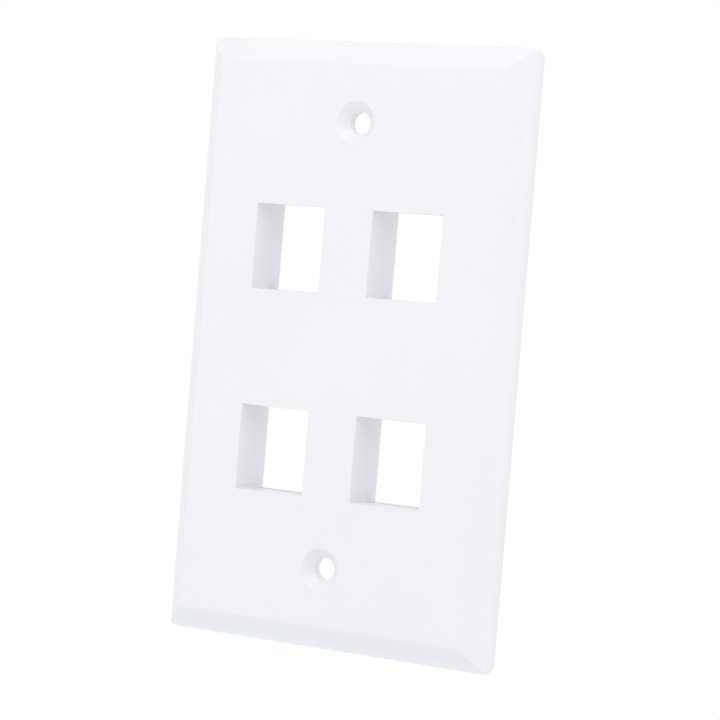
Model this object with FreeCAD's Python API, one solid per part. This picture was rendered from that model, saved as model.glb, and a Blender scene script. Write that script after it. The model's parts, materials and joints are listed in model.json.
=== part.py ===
import FreeCAD, Part
import math
import os

from FreeCAD import Vector

# Single-gang wall plate for four keystone jacks, moulded in one piece.
# Frame: X across the plate, +Z up the wall, the front faces -Y. The origin is the centre of the
# plate's outline in the wall plane, so everything at Y > 0 goes into the wall box.

# ---- plate (mm) ----
PLATE_WIDTH = 69.85            # 2.75 in
PLATE_HEIGHT = 114.3           # 4.5 in
PLATE_DEPTH = 5.8              # wall plane to front face
CORNER_RADIUS = 2.2            # outline corner
ROLL_WIDTH = 4.75              # plan width of the rolled edge
SIDE_HEIGHT = 1.0              # straight side above the wall plane
SIDE_DRAFT = 0.12              # lean of that side over its height
FACE_CREASE_DEG = 17.0         # angle at which the rolled edge leaves the flat face

# ---- hollow back ----
SKIN = 2.2                     # wall behind the front face
RIM_WIDTH = 2.1                # foot that sits on the wall
CAVITY_CORNER_RADIUS = 1.2
CAVITY_ROLL_WIDTH = 2.9
CAVITY_SIDE_HEIGHT = 0.8

# ---- keystone receptacles ----
OPENING_WIDTH = 14.7
OPENING_HEIGHT = 16.1
PITCH_X = 25.0
PITCH_Z = 38.1                 # 1.5 in
GROUP_DROP = 1.5               # openings sit this far below the plate's centre
COLLAR_REACH = 4.1             # how far a collar stands behind the wall plane
COLLAR_WALL = 1.6              # side walls
COLLAR_CAP = 1.5               # roof and floor walls, outside the pockets
COLLAR_CORNER_RADIUS = 1.0
LATCH_POCKET = 3.9             # height above the opening, for the jack's sprung latch
LATCH_POCKET_FRONT = 3.9       # measured back from the front face, as all depths below
LUG_POCKET = 1.9               # depth below the opening, for the jack's fixed lug
LUG_POCKET_FRONT = 6.3
CATCH_FRONT = 8.0              # front face of both catches
CATCH_LIFT = 1.9               # the latch catch ends this far above the opening
CATCH_RAMP = 0.9               # lead-in at the collar's mouth
WINDOW_WIDTH = 10.4            # openings in roof and floor that shape the pockets
WINDOW_MARGIN = 0.7

# ---- screw holes ----
SCREW_SPACING = 83.3           # 3.281 in, box screw centres
SCREW_HOLE_RADIUS = 2.15
COUNTERSINK_RADIUS = 4.0
COUNTERSINK_ANGLE_DEG = 82.0
BOSS_RADIUS = 5.0
BOSS_DRAFT = 0.25
BOSS_SETBACK = 2.2             # boss ends this far in front of the wall plane

# ---- stiffening ribs and mould marks ----
RIB_THICKNESS = 1.1
RIB_SETBACK = 2.4              # ribs end this far in front of the wall plane
PIN_MARK_RADIUS = 2.0
PIN_MARK_DEPTH = 0.2
PIN_MARK_MARGIN = 8.5          # from the plate's outline to a corner mark's centre

# ---- worked out from the above ----
HALF_WIDTH = PLATE_WIDTH / 2
HALF_HEIGHT = PLATE_HEIGHT / 2
FRONT_Y = -PLATE_DEPTH
SKIN_BACK_Y = FRONT_Y + SKIN
HALF_OPENING = OPENING_HEIGHT / 2
COLLAR_DEPTH = PLATE_DEPTH + COLLAR_REACH
COLLAR_TOP = HALF_OPENING + LATCH_POCKET + COLLAR_CAP
COLLAR_BOTTOM = HALF_OPENING + LUG_POCKET + COLLAR_CAP
OVERRUN = 2.0                  # how far a cutter passes the surface it cuts
PORT_CENTRES = [(side * PITCH_X / 2, row * PITCH_Z / 2 - GROUP_DROP)
                for row in (1, -1) for side in (-1, 1)]
SCREW_HEIGHTS = (SCREW_SPACING / 2, -SCREW_SPACING / 2)


def closed_face(edges):
    return Part.Face(Part.Wire(Part.__sortEdges__(edges)))


def segment(start, end):
    return Part.LineSegment(start, end).toShape()


def polygon_face(points):
    return Part.Face(Part.makePolygon(points + points[:1]))


def roll_middle(start, end, end_angle):
    """Middle point of the convex arc from the straight side (start) to the flat face (end).

    Points are (outward, forward) pairs; end_angle is the slope at which the arc leaves the face."""
    run = start[0] - end[0]
    rise = end[1] - start[1]
    chord = math.hypot(run, rise)
    half_turn = math.atan2(rise, run) - end_angle
    radius = chord / (2 * math.sin(half_turn))
    bulge = radius * (1 - math.cos(half_turn))
    return ((start[0] + end[0]) / 2 + bulge * rise / chord,
            (start[1] + end[1]) / 2 + bulge * run / chord)


def rolled_section(half, depth, side_height, draft, roll_width, place):
    """Face of the plate's cross-section; place turns (outward, forward) into a point in space."""
    crease = math.radians(FACE_CREASE_DEG)
    side_top = (half - draft, side_height)
    face_edge = (half - draft - roll_width, depth)
    middle = roll_middle(side_top, face_edge, crease)
    edges = [segment(place(-half, 0), place(half, 0)),
             segment(place(-face_edge[0], depth), place(face_edge[0], depth))]
    for sign in (-1, 1):
        edges.append(segment(place(sign * half, 0), place(sign * side_top[0], side_height)))
        edges.append(Part.Arc(place(sign * side_top[0], side_top[1]),
                              place(sign * middle[0], middle[1]),
                              place(sign * face_edge[0], face_edge[1])).toShape())
    return closed_face(edges)


def rounded_prism(x0, x1, z0, z1, y0, y1, radius):
    """Block with its four Y-going edges rounded."""
    block = Part.makeBox(x1 - x0, y1 - y0, z1 - z0, Vector(x0, y0, z0))
    uprights = [e for e in block.Edges
                if abs(e.Vertexes[0].Point.y - e.Vertexes[1].Point.y) > (y1 - y0) / 2]
    return block.makeFillet(radius, uprights)


def rolled_block(half_x, half_z, depth, side_height, draft, roll_width, radius):
    """Plate form with all four edges rolled over and mitred where they meet at the corners."""
    across = rolled_section(half_x, depth, side_height, draft, roll_width,
                            lambda u, v: Vector(u, -v, -half_z))
    along = rolled_section(half_z, depth, side_height, draft, roll_width,
                           lambda u, v: Vector(-half_x, -v, u))
    bar_z = across.extrude(Vector(0, 0, 2 * half_z))
    bar_x = along.extrude(Vector(2 * half_x, 0, 0))
    outline = rounded_prism(-half_x, half_x, -half_z, half_z, -depth, 0, radius)
    return bar_z.common(bar_x).common(outline)


def shell():
    """Front skin with its rolled edge and the foot that sits on the wall."""
    outer = rolled_block(HALF_WIDTH, HALF_HEIGHT, PLATE_DEPTH, SIDE_HEIGHT, SIDE_DRAFT,
                         ROLL_WIDTH, CORNER_RADIUS)
    hollow = rolled_block(HALF_WIDTH - RIM_WIDTH, HALF_HEIGHT - RIM_WIDTH, PLATE_DEPTH - SKIN,
                          CAVITY_SIDE_HEIGHT, SIDE_DRAFT, CAVITY_ROLL_WIDTH, CAVITY_CORNER_RADIUS)
    return outer.cut(hollow)


def collar(x, z):
    """Solid block that a receptacle is cut from, from inside the skin to behind the wall plane."""
    half = OPENING_WIDTH / 2 + COLLAR_WALL
    return rounded_prism(x - half, x + half, z - COLLAR_BOTTOM, z + COLLAR_TOP,
                         SKIN_BACK_Y - SKIN / 2, COLLAR_REACH, COLLAR_CORNER_RADIUS)


def receptacle_void(x, z):
    """Space for one jack: straight opening, latch pocket above, lug pocket below, two catches."""
    left = x - OPENING_WIDTH / 2
    top = HALF_OPENING
    catch = top + CATCH_LIFT
    ramp_start = COLLAR_DEPTH - CATCH_RAMP
    profile = [(-OVERRUN, -top),
               (LUG_POCKET_FRONT, -top),
               (LUG_POCKET_FRONT, -top - LUG_POCKET),
               (CATCH_FRONT, -top - LUG_POCKET),
               (CATCH_FRONT, -top),
               (ramp_start, -top),
               (COLLAR_DEPTH, -top - CATCH_RAMP),
               (COLLAR_DEPTH + OVERRUN, -top - CATCH_RAMP),
               (COLLAR_DEPTH + OVERRUN, catch + CATCH_RAMP),
               (COLLAR_DEPTH, catch + CATCH_RAMP),
               (ramp_start, catch),
               (CATCH_FRONT, catch),
               (CATCH_FRONT, top + LATCH_POCKET),
               (LATCH_POCKET_FRONT, top + LATCH_POCKET),
               (LATCH_POCKET_FRONT, top),
               (-OVERRUN, top)]
    points = [Vector(left, FRONT_Y + depth, z + height) for depth, height in profile]
    return polygon_face(points).extrude(Vector(OPENING_WIDTH, 0, 0))


def pocket_windows(x, z):
    """Openings through the collar's roof and floor, level with the two pockets."""
    front = SKIN_BACK_Y + WINDOW_MARGIN
    reach = FRONT_Y + CATCH_FRONT
    left = x - WINDOW_WIDTH / 2
    roof = Part.makeBox(WINDOW_WIDTH, reach - front, COLLAR_CAP + OVERRUN,
                        Vector(left, front, z + HALF_OPENING + LATCH_POCKET - OVERRUN / 2))
    lug_front = FRONT_Y + LUG_POCKET_FRONT
    floor = Part.makeBox(WINDOW_WIDTH, reach - lug_front, COLLAR_CAP + OVERRUN,
                         Vector(left, lug_front, z - COLLAR_BOTTOM - OVERRUN / 2))
    return [roof, floor]


def screw_boss(z):
    """Tapered stub behind the skin that the screw passes through."""
    length = -BOSS_SETBACK - SKIN_BACK_Y + SKIN / 2
    return Part.makeCone(BOSS_RADIUS + BOSS_DRAFT, BOSS_RADIUS, length,
                         Vector(0, SKIN_BACK_Y - SKIN / 2, z), Vector(0, 1, 0))


def screw_hole(z):
    """Countersunk clearance hole, turned about its axis from a half section."""
    slope = math.tan(math.radians(COUNTERSINK_ANGLE_DEG / 2))
    sink_depth = (COUNTERSINK_RADIUS - SCREW_HOLE_RADIUS) / slope
    mouth_radius = COUNTERSINK_RADIUS + OVERRUN * slope
    half_section = [Vector(0, FRONT_Y - OVERRUN, z),
                    Vector(mouth_radius, FRONT_Y - OVERRUN, z),
                    Vector(SCREW_HOLE_RADIUS, FRONT_Y + sink_depth, z),
                    Vector(SCREW_HOLE_RADIUS, OVERRUN, z),
                    Vector(0, OVERRUN, z)]
    return polygon_face(half_section).revolve(Vector(0, 0, z), Vector(0, 1, 0), 360)


def rib(x0, x1, z0, z1):
    """Upright web on the back of the skin."""
    start = SKIN_BACK_Y - SKIN / 2
    return Part.makeBox(x1 - x0, -RIB_SETBACK - start, z1 - z0, Vector(x0, start, z0))


def ribs():
    """One spine between the screw bosses and a cross web through each row and between the rows."""
    half = RIB_THICKNESS / 2
    spine_end = SCREW_SPACING / 2 - BOSS_RADIUS + RIB_THICKNESS
    reach = HALF_WIDTH - RIM_WIDTH - CAVITY_ROLL_WIDTH / 2
    webs = [rib(-half, half, -spine_end, spine_end)]
    for level in (PITCH_Z / 2, 0, -PITCH_Z / 2):
        z = level - GROUP_DROP
        webs.append(rib(-reach, reach, z - half, z + half))
    return webs


def pin_marks():
    """Shallow discs that the mould's ejector pins leave on the back of the skin."""
    x = HALF_WIDTH - PIN_MARK_MARGIN
    z = HALF_HEIGHT - PIN_MARK_MARGIN
    level = -GROUP_DROP + PITCH_Z / 4
    places = [(side * x, height) for side in (-1, 1) for height in (z, level, -z)]
    return [Part.makeCylinder(PIN_MARK_RADIUS, SKIN / 2 + PIN_MARK_DEPTH,
                              Vector(x, SKIN_BACK_Y - PIN_MARK_DEPTH, z), Vector(0, 1, 0))
            for x, z in places]


def faceplate():
    added = [collar(x, z) for x, z in PORT_CENTRES]
    added += [screw_boss(z) for z in SCREW_HEIGHTS]
    added += ribs()
    body = shell().fuse(added)
    removed = [receptacle_void(x, z) for x, z in PORT_CENTRES]
    for x, z in PORT_CENTRES:
        removed += pocket_windows(x, z)
    removed += [screw_hole(z) for z in SCREW_HEIGHTS]
    removed += pin_marks()
    return body.cut(removed).removeSplitter().Solids[0]


def main():
    os.makedirs("parts", exist_ok=True)
    solid = faceplate()
    if not solid.isValid():
        raise ValueError("the faceplate is not a valid solid")
    solid.exportStep("parts/faceplate.step")
    print("faceplate volume %.0f mm3" % solid.Volume)


main()
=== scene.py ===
import json
import math

import bmesh
import bpy
from bpy.props import FloatProperty, FloatVectorProperty, IntProperty, PointerProperty
from mathutils import Matrix, Vector

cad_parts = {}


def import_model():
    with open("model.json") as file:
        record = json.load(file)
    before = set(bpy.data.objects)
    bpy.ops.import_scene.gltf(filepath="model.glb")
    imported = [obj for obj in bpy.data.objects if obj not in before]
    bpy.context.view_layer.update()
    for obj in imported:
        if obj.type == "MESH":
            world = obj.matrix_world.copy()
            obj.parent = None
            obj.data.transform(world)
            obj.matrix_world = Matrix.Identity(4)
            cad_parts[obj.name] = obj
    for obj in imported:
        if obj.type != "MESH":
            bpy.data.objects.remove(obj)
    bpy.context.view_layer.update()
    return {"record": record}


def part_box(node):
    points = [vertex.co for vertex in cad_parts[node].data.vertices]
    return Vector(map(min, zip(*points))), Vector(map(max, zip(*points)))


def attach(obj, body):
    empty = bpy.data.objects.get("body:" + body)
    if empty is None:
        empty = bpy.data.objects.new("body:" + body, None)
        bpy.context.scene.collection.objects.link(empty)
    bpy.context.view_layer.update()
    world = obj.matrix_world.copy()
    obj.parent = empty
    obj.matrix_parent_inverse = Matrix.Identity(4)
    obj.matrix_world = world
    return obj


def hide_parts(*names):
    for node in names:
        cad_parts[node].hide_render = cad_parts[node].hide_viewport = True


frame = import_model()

bl_info = {
    "name": "Keystone Faceplate",
    "version": (1, 0, 0),
    "blender": (4, 5, 0),
    "location": "View3D > Sidebar > Faceplate",
    "description": "Models a four-port keystone wall plate, its plastic and a plain studio",
    "category": "Object",
}

# The frame: X across the plate, +Z up the wall, the front faces -Y, the wall plane is Y = 0.
MM = 0.001
PLATE_NODE = "faceplate"
LOW, HIGH = (Vector(corner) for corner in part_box(PLATE_NODE))
FRONT = LOW.y                          # front face of the plate
COLLAR_END = HIGH.y                    # rear end of the receptacles
HALF_WIDTH = HIGH.x
HALF_HEIGHT = HIGH.z
PLATE_DEPTH = -FRONT
COLLAR_DEPTH = COLLAR_END - FRONT

MOUNTS = {mount["name"]: mount for mount in frame["record"]["mounts"]}
PORT_CENTRES = [Vector(mount["pos_m"]) for name, mount in sorted(MOUNTS.items())
                if name.startswith("port_")]
PORT_ROWS = sorted({round(port.z, 6) for port in PORT_CENTRES})     # lower and upper row
SCREW_DIMS = MOUNTS["wall_screws"]["dims"]
SCREW_RADIUS = SCREW_DIMS["hole_r_mm"] * MM
SCREW_HEIGHTS = [side * SCREW_DIMS["spacing_y_mm"] * MM / 2 for side in (1, -1)]

OVERRUN = 1.5 * MM                     # how far a cutter passes the surface that it cuts
SHORT_OVERRUN = 1.0 * MM               # the same for the windows and the pin marks
TOUCH = 0.01 * MM                      # points this close are taken as the same
SQUARE_ON = 0.9                        # a face whose normal has more of an axis than this looks along it
BACKWARDS = Vector((0, 1, 0))
CAMERA_NEAR = 10 * MM
CAMERA_FAR = 20000 * MM
WHITE = (1, 1, 1, 1)


# ---------------------------------------------------------------- settings

def length(name, description, millimetres):
    return FloatProperty(name=name, description=description, default=millimetres * MM,
                         min=0.0, unit="LENGTH", precision=5)


def angle(name, description, degrees):
    return FloatProperty(name=name, description=description, default=math.radians(degrees),
                         subtype="ANGLE")


def count(name, description, default):
    return IntProperty(name=name, description=description, default=default, min=1)


def number(name, description, default):
    return FloatProperty(name=name, description=description, default=default, min=0.0,
                         precision=3)


def fraction(name, description, default):
    return FloatProperty(name=name, description=description, default=default, min=0.0, max=1.0,
                         subtype="FACTOR")


def power(name, description, watts):
    return FloatProperty(name=name, description=description, default=watts, unit="POWER")


def place(name, description, metres):
    return FloatVectorProperty(name=name, description=description, default=metres, size=3,
                               subtype="XYZ", unit="LENGTH")


def paint(name, description, colour):
    return FloatVectorProperty(name=name, description=description, default=colour, size=3,
                               subtype="COLOR", min=0, max=1)


class PlateSizes(bpy.types.PropertyGroup):
    """Sizes of the moulding that its overall box and mounts don't give."""
    corner_radius: length("Corner radius", "Rounding of the plate's outline", 2.2)
    corner_steps: count("Corner steps", "Faces round each of those corners", 8)
    roll_width: length("Roll width", "Width of the rolled edge, seen from the front", 4.75)
    side_height: length("Side height", "Straight side between the wall and the rolled edge", 1.0)
    side_draft: length("Side draft", "How far that side leans inwards over its height", 0.12)
    crease: angle("Crease", "Angle at which the roll leaves the face", 17)
    roll_steps: count("Roll steps", "Faces round the roll", 12)
    crease_blend: length("Crease blend", "Softening on each side of that crease", 0.3)
    crease_steps: count("Crease steps", "Faces across that softening", 4)
    skin: length("Skin", "Thickness behind the front face", 2.2)
    rim_width: length("Rim width", "Width of the foot on the wall", 2.1)
    hollow_roll: length("Hollow roll", "Width of the roll inside the hollow", 2.9)
    hollow_side: length("Hollow side", "Straight side inside the hollow", 0.8)
    hollow_corner: length("Hollow corner", "Corner rounding inside the hollow", 1.2)


class ReceptacleSizes(bpy.types.PropertyGroup):
    """Sizes of one keystone receptacle. Depths are measured back from the front face."""
    opening_width: length("Opening width", "Width of the opening", 14.7)
    opening_height: length("Opening height", "Height of the opening", 16.1)
    side_wall: length("Side wall", "Thickness of the collar's sides", 1.6)
    cap_wall: length("Cap wall", "Thickness of the collar's roof and floor", 1.5)
    corner_radius: length("Collar corner", "Rounding of the collar's corners", 1.0)
    corner_steps: count("Collar corner steps", "Faces round each of those corners", 5)
    latch_height: length("Latch pocket", "Height of the pocket above the opening", 3.9)
    latch_front: length("Latch pocket front", "Depth at which that pocket starts", 3.9)
    lug_height: length("Lug pocket", "Height of the pocket below the opening", 1.9)
    lug_front: length("Lug pocket front", "Depth at which that pocket starts", 6.3)
    catch_front: length("Catch front", "Depth of both catches", 8.0)
    catch_lift: length("Catch lift", "Gap between the opening and the upper catch", 1.9)
    ramp: length("Ramp", "Lead-in at the collar's mouth", 0.9)
    window_width: length("Window width", "Width of the windows in roof and floor", 10.4)
    window_margin: length("Window margin", "Distance from the skin to the roof window", 0.7)


class DetailSizes(bpy.types.PropertyGroup):
    """Sizes of the screw holes, bosses, ribs and pin marks, and the finish of the edges."""
    sink_radius: length("Countersink radius", "Radius of the countersink's mouth", 4.0)
    sink_angle: angle("Countersink angle", "Full angle of the cone", 96)
    boss_radius: length("Boss radius", "Radius of the screw boss at its end", 5.0)
    boss_draft: length("Boss draft", "How much wider the boss is at its root", 0.25)
    boss_setback: length("Boss setback", "Gap between the boss and the wall plane", 2.2)
    rib_thickness: length("Rib thickness", "Thickness of the stiffening ribs", 1.1)
    rib_setback: length("Rib setback", "Gap between the ribs and the wall plane", 2.4)
    rib_root: length("Rib root", "How far the ribs run into the skin and the rim", 0.5)
    mark_radius: length("Pin mark radius", "Radius of an ejector pin's mark", 2.0)
    mark_depth: length("Pin mark depth", "Depth of an ejector pin's mark", 0.2)
    mark_margin: length("Pin mark margin", "From the outline to a corner mark's centre", 8.5)
    round_steps: count("Round steps", "Faces round a hole or a boss", 64)
    mark_steps: count("Pin mark steps", "Faces round a pin mark", 32)
    edge_break: length("Edge break", "Small rounding of the sharp edges", 0.09)
    break_steps: count("Edge break steps", "Faces across that rounding", 3)
    break_angle: angle("Edge break angle", "Edges sharper than this are rounded", 24)
    smooth_angle: angle("Smooth angle", "Edges blunter than this are shaded smooth", 50)
    sliver: length("Sliver", "Faces thinner than this are dissolved", 0.006)
    merge_distance: length("Merge distance", "Vertices nearer than this become one", 0.04)


class PlasticFinish(bpy.types.PropertyGroup):
    """Finish of the white moulded plastic."""
    colour: paint("Colour", "Body colour of the plastic", (0.886, 0.865, 0.906))
    shade: paint("Shade", "Colour where the mix flowed thinner", (0.873, 0.852, 0.894))
    smoothest: fraction("Smoothest", "Lowest roughness", 0.30)
    roughest: fraction("Roughest", "Highest roughness", 0.37)
    flow_scale: number("Flow scale", "Scale of the colour's drift", 38.0)
    flow_detail: number("Flow detail", "Octaves of that drift", 3.0)
    flow_low: fraction("Flow low", "Level of the drift that has the shade", 0.35)
    flow_high: fraction("Flow high", "Level of the drift that has the full colour", 0.65)
    grain_scale: number("Grain scale", "Scale of the fine surface grain", 2600.0)
    grain_detail: number("Grain detail", "Octaves of that grain", 2.0)
    grain_depth: length("Grain depth", "Depth of the fine surface grain", 0.004)
    grain_strength: fraction("Grain strength", "How much of that grain the light shows", 0.12)


class StudioSettings(bpy.types.PropertyGroup):
    """Camera, lamps and floor."""
    azimuth: angle("Azimuth", "Camera's turn to the right of the front", 29.696)
    elevation: angle("Elevation", "Camera's angle above level", 1.988)
    roll: angle("Roll", "Camera's turn about its own axis", 4.651)
    distance: length("Distance", "From the camera to the point it looks at", 519.4)
    target: place("Target", "Point the camera looks at", (0.00167, 0.0, -0.00228))
    lens: FloatProperty(name="Lens", description="Focal length", default=138.75, unit="CAMERA")
    ambient: number("Ambient", "Strength of the even light", 0.847)
    key_place: place("Key place", "Soft lamp above on the right", (0.165, -0.266, 0.391))
    key_size: length("Key size", "Side of that lamp", 380.0)
    key_power: power("Key power", "Power of that lamp", 0.57)
    fill_place: place("Fill place", "Broad lamp on the left", (-1.04, -0.78, 0.0))
    fill_size: length("Fill size", "Side of that lamp", 600.0)
    fill_power: power("Fill power", "Power of that lamp", 1.3)
    edge_place: place("Edge place", "Lamp beside the right edge", (1.2, 0.04, 0.0))
    edge_size: length("Edge size", "Side of that lamp", 500.0)
    edge_power: power("Edge power", "Power of that lamp", 0.62)
    floor_drop: length("Floor drop", "From the plate's foot to the floor", 250.0)
    floor_size: length("Floor size", "Side of the square floor", 3000.0)
    floor_colour: paint("Floor colour", "Colour of the matt floor", (0.925, 0.98, 0.99))
    floor_roughness: fraction("Floor roughness", "Roughness of the floor", 0.9)
    floor_glow: number("Floor glow", "Makes the floor white where it is seen", 0.22)


# ---------------------------------------------------------------- working by hand

def deselect_all():
    if bpy.context.object and bpy.context.object.mode != "OBJECT":
        bpy.ops.object.mode_set(mode="OBJECT")
    bpy.ops.object.select_all(action="DESELECT")


def make_active(obj):
    deselect_all()
    obj.select_set(True)
    bpy.context.view_layer.objects.active = obj


def start_editing(obj, mode="FACE"):
    make_active(obj)
    bpy.ops.object.mode_set(mode="EDIT")
    bpy.ops.mesh.select_mode(type=mode)
    bpy.ops.mesh.select_all(action="DESELECT")


def stop_editing():
    bpy.ops.object.mode_set(mode="OBJECT")


def pick(obj, kind, test):
    """Selects the faces, edges or verts of the mesh being edited that pass the test."""
    mesh = bmesh.from_edit_mesh(obj.data)
    found = 0
    for element in getattr(mesh, kind):
        chosen = test(element)
        element.select_set(chosen)
        found += chosen
    mesh.select_flush_mode()
    bmesh.update_edit_mesh(obj.data)
    if not found:
        raise RuntimeError(f"nothing to select on {obj.name}")


def settle(obj, name):
    """Moves the object's place into its mesh and names it."""
    make_active(obj)
    bpy.ops.object.transform_apply(location=True, rotation=True, scale=True)
    obj.name = obj.data.name = name
    return obj


def block(name, low, high):
    """Cuboid between two corners."""
    deselect_all()
    low, high = Vector(low), Vector(high)
    bpy.ops.mesh.primitive_cube_add(size=1, location=(low + high) / 2)
    obj = bpy.context.object
    obj.scale = high - low
    return settle(obj, name)


def rounded_block(name, low, high, radius, steps):
    """Cuboid whose four edges along Y are rounded, each in the given number of faces."""
    obj = block(name, low, high)
    start_editing(obj, "EDGE")
    pick(obj, "edges", lambda e: abs(e.verts[0].co.y - e.verts[1].co.y) > TOUCH)
    bpy.ops.mesh.bevel(offset=radius, segments=steps, affect="EDGES")
    stop_editing()
    return obj


def cone_along_y(name, front, back, front_radius, back_radius, z, steps):
    """Cone or cylinder about the Y direction, between two Y values."""
    half_a_face = math.pi / steps
    deselect_all()
    bpy.ops.mesh.primitive_cone_add(vertices=steps, radius1=back_radius, radius2=front_radius,
                                    depth=back - front, rotation=(math.pi / 2, half_a_face, 0),
                                    location=(0, (front + back) / 2, z))
    return settle(bpy.context.object, name)


def combine(body, tools, operation):
    """Joins the tools to the body, cuts them from it or keeps what they share, one by one."""
    for tool in tools:
        make_active(body)
        bpy.ops.object.modifier_add(type="BOOLEAN")
        step = body.modifiers[-1]
        step.operation = operation
        step.solver = "EXACT"
        step.object = tool
        bpy.ops.object.modifier_apply(modifier=step.name)
        bpy.data.objects.remove(tool)


# ---------------------------------------------------------------- the moulding

def roll_moves(sizes, depth, side_height, roll_width):
    """(inward, forward) moves that climb the side and then the convex arc up to the face."""
    rise = depth - side_height
    chord = math.hypot(roll_width, rise)
    lean = math.atan2(rise, roll_width)
    half_turn = lean - sizes.crease
    radius = chord / (2 * math.sin(half_turn))
    moves = [(sizes.side_draft, side_height)]
    turn = 2 * half_turn / sizes.roll_steps
    for step in range(sizes.roll_steps):
        slope = lean + half_turn - (step + 0.5) * turn
        stride = 2 * radius * math.sin(turn / 2)
        moves.append((stride * math.cos(slope), stride * math.sin(slope)))
    return moves


def rolled_form(name, sizes, half_x, half_z, depth, side_height, roll_width, radius, foot=0.0):
    """Closed plate form: its outline, inset step by step up the rolled edge, with round corners.

    Its side carries on back to Y = foot."""
    moves = roll_moves(sizes, depth, side_height, roll_width)
    draft, height = moves[0]
    lead = draft * foot / height
    moves[0] = (draft + lead, height + foot)
    half_x, half_z = half_x + lead, half_z + lead
    deselect_all()
    bpy.ops.mesh.primitive_plane_add(size=2, rotation=(math.pi / 2, 0, 0), location=(0, foot, 0))
    obj = bpy.context.object
    obj.scale = (half_x, half_z, 1)
    settle(obj, name)
    start_editing(obj)
    bpy.ops.mesh.select_all(action="SELECT")
    for inward, forward in moves:
        bpy.ops.mesh.inset(thickness=inward, depth=forward)
    bpy.ops.mesh.select_mode(type="EDGE")
    pick(obj, "edges", lambda e: e.is_boundary)
    bpy.ops.mesh.edge_face_add()
    bpy.ops.mesh.select_all(action="SELECT")
    bpy.ops.mesh.normals_make_consistent(inside=False)
    stop_editing()
    outline = rounded_block(name + "_outline", (-half_x, -depth - OVERRUN, -half_z),
                            (half_x, foot + OVERRUN, half_z), radius, sizes.corner_steps)
    combine(obj, [outline], "INTERSECT")
    return obj


def shell(sizes):
    """Skin with its rolled edge and the foot that sits on the wall."""
    body = rolled_form("moulding", sizes, HALF_WIDTH, HALF_HEIGHT, PLATE_DEPTH,
                       sizes.side_height, sizes.roll_width, sizes.corner_radius)
    hollow = rolled_form("hollow", sizes, HALF_WIDTH - sizes.rim_width,
                         HALF_HEIGHT - sizes.rim_width, PLATE_DEPTH - sizes.skin,
                         sizes.hollow_side, sizes.hollow_roll, sizes.hollow_corner, OVERRUN)
    combine(body, [hollow], "DIFFERENCE")
    return body


def collar(port, part, skin_middle):
    """Block round one receptacle, from inside the skin to behind the wall plane."""
    half = part.opening_width / 2 + part.side_wall
    top = part.opening_height / 2 + part.latch_height + part.cap_wall
    bottom = part.opening_height / 2 + part.lug_height + part.cap_wall
    return rounded_block("collar", (port.x - half, skin_middle, port.z - bottom),
                         (port.x + half, COLLAR_END, port.z + top),
                         part.corner_radius, part.corner_steps)


def receptacle_void(port, part):
    """Space for one jack: straight opening, pockets above and below, and the lead-in ramps."""
    half_width = part.opening_width / 2
    half_height = part.opening_height / 2
    top, bottom = port.z + half_height, port.z - half_height
    obj = block("receptacle", (port.x - half_width, FRONT - OVERRUN, bottom),
                (port.x + half_width, COLLAR_END + OVERRUN, top))
    start_editing(obj)
    ramp_start = COLLAR_DEPTH - part.ramp
    for depth in (part.latch_front, part.lug_front, part.catch_front, ramp_start):
        bpy.ops.mesh.select_all(action="SELECT")
        bpy.ops.mesh.bisect(plane_co=(0, FRONT + depth, 0), plane_no=BACKWARDS)

    def wall(up, start, end):
        """Test for the faces of the roof (up = 1) or the floor (up = -1) between two depths."""
        height = top if up > 0 else bottom
        return lambda f: (f.normal.z * up > SQUARE_ON
                          and abs(f.calc_center_median().z - height) < TOUCH
                          and start < f.calc_center_median().y - FRONT < end)

    def raise_by(distance):
        bpy.ops.mesh.extrude_region_move(TRANSFORM_OT_translate={"value": (0, 0, distance)})

    pick(obj, "faces", wall(1, part.latch_front, COLLAR_DEPTH + OVERRUN))
    raise_by(part.catch_lift)
    top += part.catch_lift
    pick(obj, "faces", wall(1, part.latch_front, part.catch_front))
    raise_by(part.latch_height - part.catch_lift)
    pick(obj, "faces", wall(-1, part.lug_front, part.catch_front))
    raise_by(-part.lug_height)

    bpy.ops.mesh.select_mode(type="VERT")
    for height, sign in ((top, 1), (bottom, -1)):
        pick(obj, "verts", lambda v: v.co.y > COLLAR_END + TOUCH and abs(v.co.z - height) < TOUCH)
        bpy.ops.transform.translate(value=(0, 0, sign * (part.ramp + OVERRUN)))
    stop_editing()
    return obj


def pocket_windows(port, part, skin):
    """Openings through the collar's roof and floor, level with the two pockets."""
    half = part.window_width / 2
    end = FRONT + part.catch_front
    half_height = part.opening_height / 2
    roof = port.z + half_height + part.latch_height
    floor = port.z - half_height - part.lug_height
    upper = block("roof_window",
                  (port.x - half, FRONT + skin + part.window_margin, roof - SHORT_OVERRUN),
                  (port.x + half, end, roof + part.cap_wall + SHORT_OVERRUN))
    lower = block("floor_window",
                  (port.x - half, FRONT + part.lug_front, floor - part.cap_wall - SHORT_OVERRUN),
                  (port.x + half, end, floor + SHORT_OVERRUN))
    return [upper, lower]


def screw_boss(z, detail, skin_middle):
    """Slightly tapered post round one screw hole, short of the wall plane."""
    return cone_along_y("boss", skin_middle, -detail.boss_setback,
                        detail.boss_radius + detail.boss_draft, detail.boss_radius, z,
                        detail.round_steps)


def screw_hole(z, detail):
    """Countersink that narrows into the straight bore, as one turned form."""
    slope = math.tan(detail.sink_angle / 2)
    neck = FRONT + (detail.sink_radius - SCREW_RADIUS) / slope
    obj = cone_along_y("screw_hole", FRONT - OVERRUN, neck,
                       detail.sink_radius + OVERRUN * slope, SCREW_RADIUS, z, detail.round_steps)
    start_editing(obj)
    pick(obj, "faces", lambda f: f.normal.y > SQUARE_ON)
    bpy.ops.mesh.extrude_region_move(TRANSFORM_OT_translate={"value": (0, OVERRUN - neck, 0)})
    stop_editing()
    return obj


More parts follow.
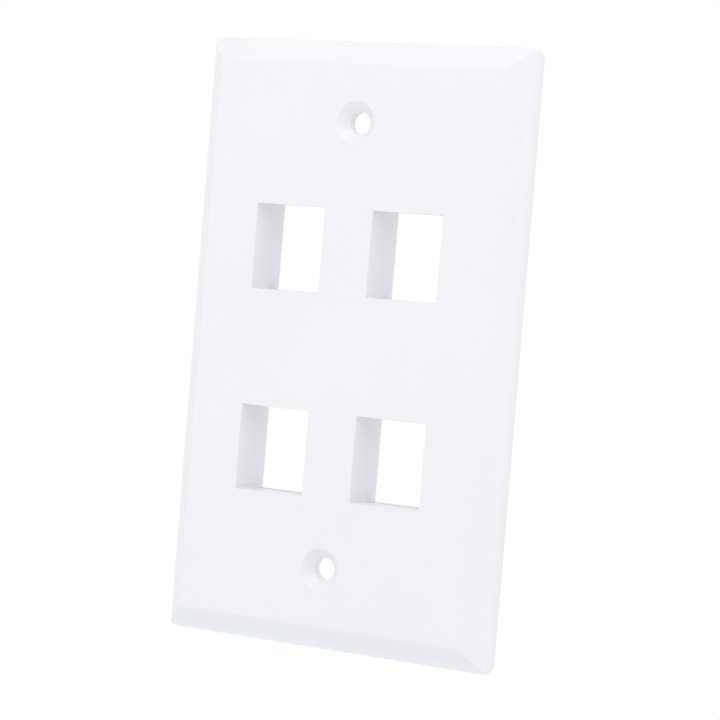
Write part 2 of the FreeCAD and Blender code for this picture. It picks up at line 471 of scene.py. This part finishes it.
def ribs(sizes, detail):
    """One spine between the screw bosses and three cross webs."""
    half = detail.rib_thickness / 2
    root = FRONT + sizes.skin - detail.rib_root
    end = -detail.rib_setback
    spine = SCREW_HEIGHTS[0] - detail.boss_radius + detail.rib_thickness
    reach = HALF_WIDTH - sizes.rim_width - detail.rib_root
    webs = [block("spine", (-half, root, -spine), (half, end, spine))]
    lower_row, upper_row = PORT_ROWS
    for z in (lower_row, (lower_row + upper_row) / 2, upper_row):
        webs.append(block("web", (-reach, root, z - half), (reach, end, z + half)))
    return webs


def pin_marks(detail, skin_back):
    """Shallow discs that the mould's ejector pins leave on the back of the skin.

    One is near each corner and one on each side, a quarter of the way down between the rows."""
    x = HALF_WIDTH - detail.mark_margin
    z = HALF_HEIGHT - detail.mark_margin
    lower_row, upper_row = PORT_ROWS
    beside_the_ports = (3 * upper_row + lower_row) / 4
    marks = []
    for side in (-1, 1):
        for height in (z, beside_the_ports, -z):
            mark = cone_along_y("mark", skin_back - detail.mark_depth, skin_back + SHORT_OVERRUN,
                                detail.mark_radius, detail.mark_radius, height,
                                detail.mark_steps)
            mark.location.x = side * x
            marks.append(settle(mark, "mark"))
    return marks


def soften_crease(body, sizes):
    """Blends the crease where the rolled edge leaves the flat face."""
    inset = sizes.side_draft + sizes.roll_width
    half_x, half_z = HALF_WIDTH - inset, HALF_HEIGHT - inset

    def on_the_crease(edge):
        middle = (edge.verts[0].co + edge.verts[1].co) / 2
        flat = all(abs(v.co.y - FRONT) < TOUCH for v in edge.verts)
        return flat and (abs(abs(middle.x) - half_x) < TOUCH or abs(abs(middle.z) - half_z) < TOUCH)

    start_editing(body, "EDGE")
    pick(body, "edges", on_the_crease)
    bpy.ops.mesh.bevel(offset=sizes.crease_blend, segments=sizes.crease_steps, affect="EDGES")
    stop_editing()


def break_edges(body, detail):
    """Merges what the cuts left double and gives every sharp edge a small rounding."""
    start_editing(body, "VERT")
    bpy.ops.mesh.select_all(action="SELECT")
    bpy.ops.mesh.remove_doubles(threshold=detail.merge_distance)
    stop_editing()
    bpy.ops.object.modifier_add(type="BEVEL")
    step = body.modifiers[-1]
    step.width = detail.edge_break
    step.segments = detail.break_steps
    step.limit_method = "ANGLE"
    step.angle_limit = detail.break_angle
    step.use_clamp_overlap = False
    bpy.ops.object.modifier_apply(modifier=step.name)


def clear_slivers(body, detail):
    """Removes the faces that are too thin to see."""
    start_editing(body, "VERT")
    bpy.ops.mesh.select_all(action="SELECT")
    bpy.ops.mesh.dissolve_degenerate(threshold=detail.sliver)
    stop_editing()


def smooth_faces(body, detail):
    """Smooth shading in which the large flat faces stay flat."""
    make_active(body)
    bpy.ops.object.shade_smooth_by_angle(angle=detail.smooth_angle)
    bpy.ops.object.modifier_add(type="WEIGHTED_NORMAL")
    step = body.modifiers[-1]
    step.keep_sharp = True
    bpy.ops.object.modifier_apply(modifier=step.name)


class FACEPLATE_OT_moulding(bpy.types.Operator):
    """Models the whole wall plate, front and back, as one moulding"""
    bl_idname = "faceplate.moulding"
    bl_label = "Moulding"

    def execute(self, context):
        sizes = context.scene.plate_sizes
        part = context.scene.receptacle_sizes
        detail = context.scene.detail_sizes
        skin_back = FRONT + sizes.skin
        skin_middle = FRONT + sizes.skin / 2
        body = shell(sizes)
        soften_crease(body, sizes)
        added = [collar(port, part, skin_middle) for port in PORT_CENTRES]
        added += [screw_boss(z, detail, skin_middle) for z in SCREW_HEIGHTS]
        added += ribs(sizes, detail)
        combine(body, added, "UNION")
        removed = [receptacle_void(port, part) for port in PORT_CENTRES]
        for port in PORT_CENTRES:
            removed += pocket_windows(port, part, sizes.skin)
        removed += [screw_hole(z, detail) for z in SCREW_HEIGHTS]
        combine(body, removed, "DIFFERENCE")
        break_edges(body, detail)
        clear_slivers(body, detail)
        combine(body, pin_marks(detail, skin_back), "DIFFERENCE")
        clear_slivers(body, detail)
        smooth_faces(body, detail)
        body.name = body.data.name = "faceplate_moulding"
        body.data.materials.clear()
        body.data.materials.append(white_plastic(context.scene.plastic_finish))
        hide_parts(PLATE_NODE)
        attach(body, "root")
        return {"FINISHED"}


# ---------------------------------------------------------------- the plastic

def white_plastic(finish):
    """Cool white plastic: a slow drift of colour, uneven gloss and a very fine grain."""
    material = bpy.data.materials.new("white_moulded_plastic")
    material.use_nodes = True
    tree = material.node_tree
    nodes, links = tree.nodes, tree.links
    shader = nodes["Principled BSDF"]
    spot = nodes.new("ShaderNodeTexCoord")

    flow = nodes.new("ShaderNodeTexNoise")
    flow.inputs["Scale"].default_value = finish.flow_scale
    flow.inputs["Detail"].default_value = finish.flow_detail
    links.new(spot.outputs["Object"], flow.inputs["Vector"])
    tint = nodes.new("ShaderNodeValToRGB")
    thin, full = tint.color_ramp.elements
    thin.position = finish.flow_low
    thin.color = (*finish.shade, 1)
    full.position = finish.flow_high
    full.color = (*finish.colour, 1)
    links.new(flow.outputs["Fac"], tint.inputs["Fac"])
    links.new(tint.outputs["Color"], shader.inputs["Base Color"])

    gloss = nodes.new("ShaderNodeMapRange")
    gloss.inputs["To Min"].default_value = finish.smoothest
    gloss.inputs["To Max"].default_value = finish.roughest
    links.new(flow.outputs["Fac"], gloss.inputs["Value"])
    links.new(gloss.outputs["Result"], shader.inputs["Roughness"])

    grain = nodes.new("ShaderNodeTexNoise")
    grain.inputs["Scale"].default_value = finish.grain_scale
    grain.inputs["Detail"].default_value = finish.grain_detail
    links.new(spot.outputs["Object"], grain.inputs["Vector"])
    bump = nodes.new("ShaderNodeBump")
    bump.inputs["Strength"].default_value = finish.grain_strength
    bump.inputs["Distance"].default_value = finish.grain_depth
    links.new(grain.outputs["Fac"], bump.inputs["Height"])
    links.new(bump.outputs["Normal"], shader.inputs["Normal"])
    return material


# ---------------------------------------------------------------- the studio

def seen_and_lit(tree, seen, lit, surface):
    """Gives one shader to the camera and reflections, and the other to the light on the object."""
    nodes, links = tree.nodes, tree.links
    rays = nodes.new("ShaderNodeLightPath")
    sight = rays.outputs["Is Camera Ray"]
    for kind in ("Is Glossy Ray", "Is Transmission Ray"):
        either = nodes.new("ShaderNodeMath")
        either.operation = "MAXIMUM"
        links.new(sight, either.inputs[0])
        links.new(rays.outputs[kind], either.inputs[1])
        sight = either.outputs[0]
    mix = nodes.new("ShaderNodeMixShader")
    links.new(sight, mix.inputs["Fac"])
    links.new(lit.outputs[0], mix.inputs[1])
    links.new(seen.outputs[0], mix.inputs[2])
    links.new(mix.outputs[0], surface)


def world(studio):
    """Even light all round, which is seen as plain white."""
    scene = bpy.context.scene
    scene.world = bpy.data.worlds.new("studio_world")
    scene.world.use_nodes = True
    tree = scene.world.node_tree
    even = tree.nodes["Background"]
    even.inputs["Color"].default_value = WHITE
    even.inputs["Strength"].default_value = studio.ambient
    white = tree.nodes.new("ShaderNodeBackground")
    white.inputs["Color"].default_value = WHITE
    seen_and_lit(tree, white, even, tree.nodes["World Output"].inputs["Surface"])


def floor(studio):
    """Pale floor under the hanging plate, with a glow that shows only where the floor is seen."""
    deselect_all()
    bpy.ops.mesh.primitive_plane_add(size=studio.floor_size,
                                     location=(0, 0, LOW.z - studio.floor_drop))
    obj = settle(bpy.context.object, "floor")
    material = bpy.data.materials.new("pale_floor")
    material.use_nodes = True
    tree = material.node_tree
    matt = tree.nodes["Principled BSDF"]
    matt.inputs["Base Color"].default_value = (*studio.floor_colour, 1)
    matt.inputs["Roughness"].default_value = studio.floor_roughness
    glow = tree.nodes.new("ShaderNodeEmission")
    glow.inputs["Strength"].default_value = studio.floor_glow
    both = tree.nodes.new("ShaderNodeAddShader")
    tree.links.new(matt.outputs[0], both.inputs[0])
    tree.links.new(glow.outputs[0], both.inputs[1])
    seen_and_lit(tree, both, matt, tree.nodes["Material Output"].inputs["Surface"])
    obj.data.materials.append(material)


def lamp(name, position, side, watts):
    """Square soft lamp that points at the plate's centre."""
    deselect_all()
    bpy.ops.object.light_add(type="AREA", location=position)
    obj = bpy.context.object
    obj.name = obj.data.name = name
    obj.data.size = side
    obj.data.energy = watts
    obj.rotation_euler = Vector(position).to_track_quat("Z", "Y").to_euler()


def camera(studio):
    """Camera on a sphere round its target, turned a little about its own axis."""
    deselect_all()
    target = Vector(studio.target)
    level = math.cos(studio.elevation)
    away = Vector((level * math.sin(studio.azimuth), -level * math.cos(studio.azimuth),
                   math.sin(studio.elevation)))
    bpy.ops.object.camera_add(location=target + away * studio.distance)
    obj = bpy.context.object
    obj.name = obj.data.name = "camera"
    facing = away.to_track_quat("Z", "Y")
    turn = Matrix.Rotation(studio.roll, 4, "Z")
    obj.rotation_euler = (facing.to_matrix().to_4x4() @ turn).to_euler()
    obj.data.lens = studio.lens
    obj.data.clip_start = CAMERA_NEAR
    obj.data.clip_end = CAMERA_FAR
    bpy.context.scene.camera = obj


class FACEPLATE_OT_studio(bpy.types.Operator):
    """Sets up the floor, the soft lamps and the camera"""
    bl_idname = "faceplate.studio"
    bl_label = "Studio"

    def execute(self, context):
        studio = context.scene.studio_settings
        world(studio)
        floor(studio)
        lamp("key", studio.key_place, studio.key_size, studio.key_power)
        lamp("fill", studio.fill_place, studio.fill_size, studio.fill_power)
        lamp("edge", studio.edge_place, studio.edge_size, studio.edge_power)
        camera(studio)
        context.scene.view_settings.view_transform = "Standard"
        return {"FINISHED"}


# ---------------------------------------------------------------- panel and registration

class FACEPLATE_PT_panel(bpy.types.Panel):
    """Builds the faceplate and its studio"""
    bl_idname = "FACEPLATE_PT_panel"
    bl_label = "Faceplate"
    bl_space_type = "VIEW_3D"
    bl_region_type = "UI"
    bl_category = "Faceplate"

    def draw(self, context):
        for group in SETTINGS:
            settings = getattr(context.scene, group)
            box = self.layout.box()
            for name in settings.__annotations__:
                box.prop(settings, name)
        for operator in OPERATORS:
            self.layout.operator(operator.bl_idname)


SETTINGS = {
    "plate_sizes": PlateSizes,
    "receptacle_sizes": ReceptacleSizes,
    "detail_sizes": DetailSizes,
    "plastic_finish": PlasticFinish,
    "studio_settings": StudioSettings,
}
OPERATORS = (FACEPLATE_OT_moulding, FACEPLATE_OT_studio)
CLASSES = (*SETTINGS.values(), *OPERATORS, FACEPLATE_PT_panel)


def register():
    for cls in CLASSES:
        bpy.utils.register_class(cls)
    for name, group in SETTINGS.items():
        setattr(bpy.types.Scene, name, PointerProperty(type=group))


def unregister():
    for name in SETTINGS:
        delattr(bpy.types.Scene, name)
    for cls in reversed(CLASSES):
        bpy.utils.unregister_class(cls)


def main():
    register()
    bpy.ops.faceplate.moulding()
    bpy.ops.faceplate.studio()


if __name__ == "__main__":
    main()
